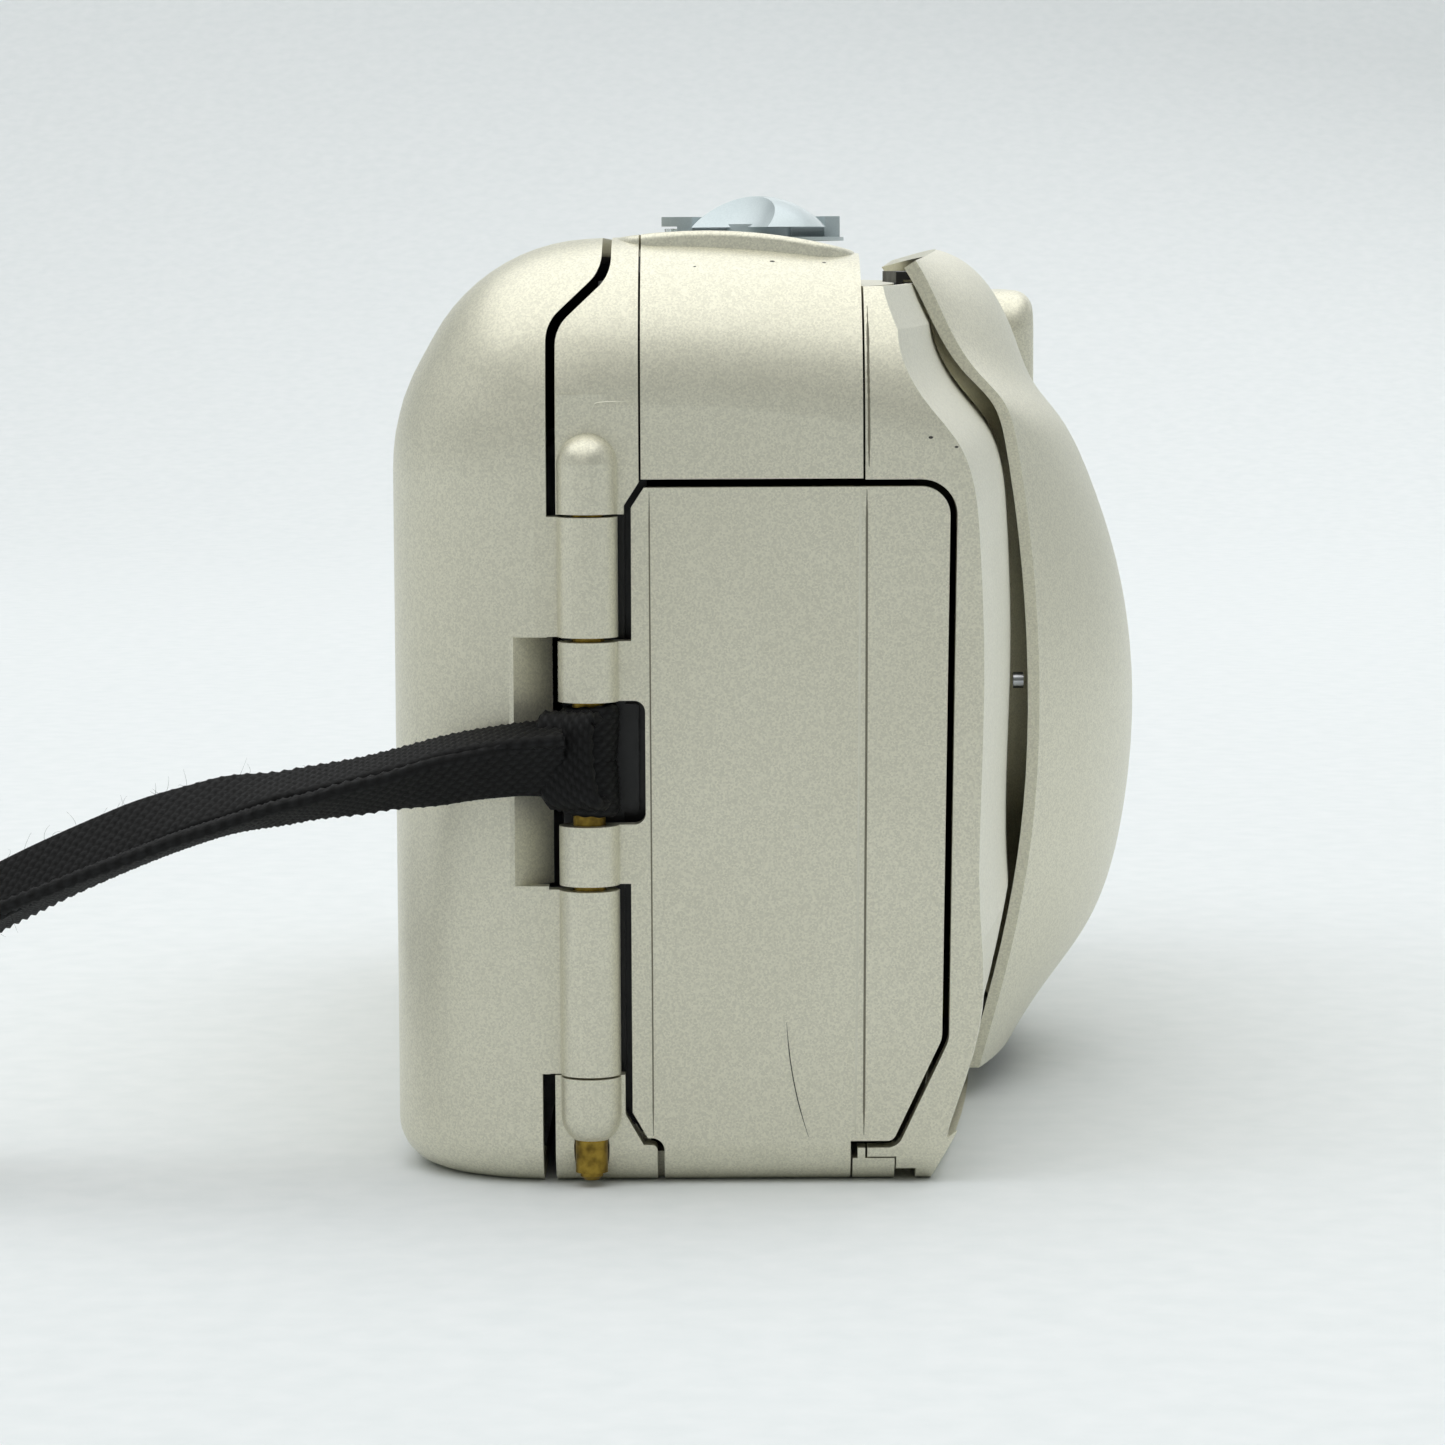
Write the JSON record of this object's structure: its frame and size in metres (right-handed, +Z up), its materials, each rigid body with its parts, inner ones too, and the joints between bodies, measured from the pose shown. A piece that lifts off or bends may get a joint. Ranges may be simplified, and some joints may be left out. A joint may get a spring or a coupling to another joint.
{
  "type": "compact film camera",
  "caption": "Compact film camera with a sliding domed lens cover, hinged film door and battery door on one side pin, and a woven wrist strap.",
  "frame": {"origin": "centre of the body's bounding box, on the table it stands on, without the strap", "axes": "+X runs along the body from the grip and hinge side to the film cartridge side, -Y is the lens side, +Y the film door side, +Z up"},
  "size_m": [0.1205, 0.1445, 0.0624],
  "materials": {
    "champagne_paint": "champagne silver metallic paint over moulded plastic, satin",
    "silver_plastic": "cool silver metallic paint, satin",
    "dark_plastic": "dark grey moulded plastic, satin",
    "black_plastic": "black moulded plastic, matt",
    "black_metal": "black lacquered steel, satin",
    "brass": "turned brass, lightly tarnished",
    "steel": "plated steel",
    "bright_metal": "bright aluminium",
    "clear_window": "clear acrylic",
    "coated_glass": "coated optical glass",
    "display_grey": "liquid crystal display, off",
    "circuit_board": "green circuit board",
    "cell_jacket": "plain dark blue cell jacket",
    "foam": "black foam",
    "amber_lens": "amber acrylic",
    "gear_nylon": "natural nylon",
    "webbing": "black woven nylon webbing"
  },
  "bodies": {
    "body": {"autofocus_window": "clear_window", "battery": "cell_jacket", "battery_contact_base": "steel", "battery_contact_top": "steel", "body_frame": "champagne_paint", "case_screws": "steel", "dx_contacts": "brass", "eyepiece_housing": "black_plastic", "eyepiece_lens": "clear_window", "flash_capacitor": "black_plastic", "flash_reflector": "bright_metal", "flash_tube": "clear_window", "flash_window": "clear_window", "front_cover": "champagne_paint", "hinge_pin": "brass", "lcd_panel": "display_grey", "lcd_window": "clear_window", "lens_bezel": "black_plastic", "lens_housing": "black_plastic", "main_board": "circuit_board", "self_timer_lamp": "amber_lens", "top_cover": "champagne_paint", "tripod_socket": "steel", "viewfinder_tunnel": "black_plastic", "viewfinder_window": "clear_window", "winding_motor": "bright_metal"},
    "film_door": {"film_door": "champagne_paint", "door_liner": "black_plastic", "pressure_plate": "black_metal", "pressure_plate_spring": "steel", "door_seals": "foam", "film_window": "clear_window", "latch_hook": "steel", "strap": "webbing", "strap_knot": "webbing"},
    "battery_door": {"battery_door": "champagne_paint"},
    "barrier": {"lens_barrier": "champagne_paint", "barrier_top_shoe": "black_plastic", "barrier_foot_shoe": "black_plastic", "barrier_stop_pin": "steel"},
    "outer_barrel": {"outer_barrel": "silver_plastic"},
    "inner_barrel": {"inner_barrel": "silver_plastic", "front_lens": "coated_glass", "rear_lens": "coated_glass"},
    "zoom_ring": {"zoom_ring": "dark_plastic"},
    "shutter_button": {"shutter_button": "silver_plastic"},
    "flash_button": {"flash_button": "silver_plastic"},
    "timer_button": {"timer_button": "silver_plastic"},
    "drive_button": {"drive_button": "silver_plastic"},
    "rewind_button": {"rewind_button": "black_plastic"},
    "latch_slider": {"latch_slider": "silver_plastic"},
    "take_up_spool": {"take_up_spool": "black_plastic"},
    "idler_gear": {"idler_gear": "gear_nylon"},
    "motor_pinion": {"motor_pinion": "brass"},
    "rewind_fork": {"rewind_fork": "black_plastic"}
  },
  "joints": [
    {"name": "film_door_hinge", "type": "hinge", "parent": "body", "child": "film_door", "pos_m": [-0.0574, 0.0129, 0.03], "axis": [0, 0, 1], "range_deg": [0, 100]},
    {"name": "battery_door_hinge", "type": "hinge", "parent": "body", "child": "battery_door", "pos_m": [-0.0574, 0.0129, 0.03], "axis": [0, 0, 1], "range_deg": [-90, 0]},
    {"name": "barrier_slide", "type": "hinge", "parent": "body", "child": "barrier", "pos_m": [0, 0.3708, 0.03], "axis": [0, 0, 1], "range_deg": [-4.6, 0]},
    {"name": "outer_barrel_slide", "type": "slide", "parent": "body", "child": "outer_barrel", "axis": [0, -1, 0], "range_m": [0, 0.0022]},
    {"name": "inner_barrel_slide", "type": "slide", "parent": "outer_barrel", "child": "inner_barrel", "axis": [0, -1, 0], "range_m": [0, 0.0022]},
    {"name": "zoom_ring_turn", "type": "hinge", "parent": "body", "child": "zoom_ring", "pos_m": [-0.0442, 0.002, 0.06], "axis": [0, 0, 1], "range_deg": [-18, 18], "stiffness_Nm_per_rad": 0.01},
    {"name": "shutter_press", "type": "slide", "parent": "body", "child": "shutter_button", "axis": [0, 0, -1], "range_m": [0, 0.0006], "stiffness_N_per_m": 300},
    {"name": "flash_button_press", "type": "slide", "parent": "body", "child": "flash_button", "axis": [0, 0, -1], "range_m": [0, 0.0005], "stiffness_N_per_m": 300},
    {"name": "timer_button_press", "type": "slide", "parent": "body", "child": "timer_button", "axis": [0, 0, -1], "range_m": [0, 0.0005], "stiffness_N_per_m": 300},
    {"name": "drive_button_press", "type": "slide", "parent": "body", "child": "drive_button", "axis": [0, 0, -1], "range_m": [0, 0.0005], "stiffness_N_per_m": 300},
    {"name": "rewind_press", "type": "slide", "parent": "body", "child": "rewind_button", "axis": [0, 0, 1], "range_m": [0, 0.0005], "stiffness_N_per_m": 300},
    {"name": "latch_slide", "type": "slide", "parent": "body", "child": "latch_slider", "axis": [0, 0, 1], "range_m": [0, 0.0035], "stiffness_N_per_m": 60},
    {"name": "spool_spin", "type": "hinge", "parent": "body", "child": "take_up_spool", "pos_m": [-0.0255, 0.0024, 0.03], "axis": [0, 0, 1], "continuous": true},
    {"name": "idler_spin", "type": "hinge", "parent": "body", "child": "idler_gear", "pos_m": [-0.01256, -0.00146, 0.006], "axis": [0, 0, 1], "continuous": true},
    {"name": "pinion_spin", "type": "hinge", "parent": "body", "child": "motor_pinion", "pos_m": [-0.0155, -0.00944, 0.006], "axis": [0, 0, 1], "continuous": true},
    {"name": "rewind_fork_spin", "type": "hinge", "parent": "body", "child": "rewind_fork", "pos_m": [0.0394, 0.0026, 0.006], "axis": [0, 0, 1], "continuous": true}
  ],
  "couplings": [
    {"joint": "inner_barrel_slide", "follows": "outer_barrel_slide", "ratio": 1},
    {"joint": "idler_spin", "follows": "spool_spin", "ratio": -1.25},
    {"joint": "pinion_spin", "follows": "spool_spin", "ratio": 3}
  ]
}
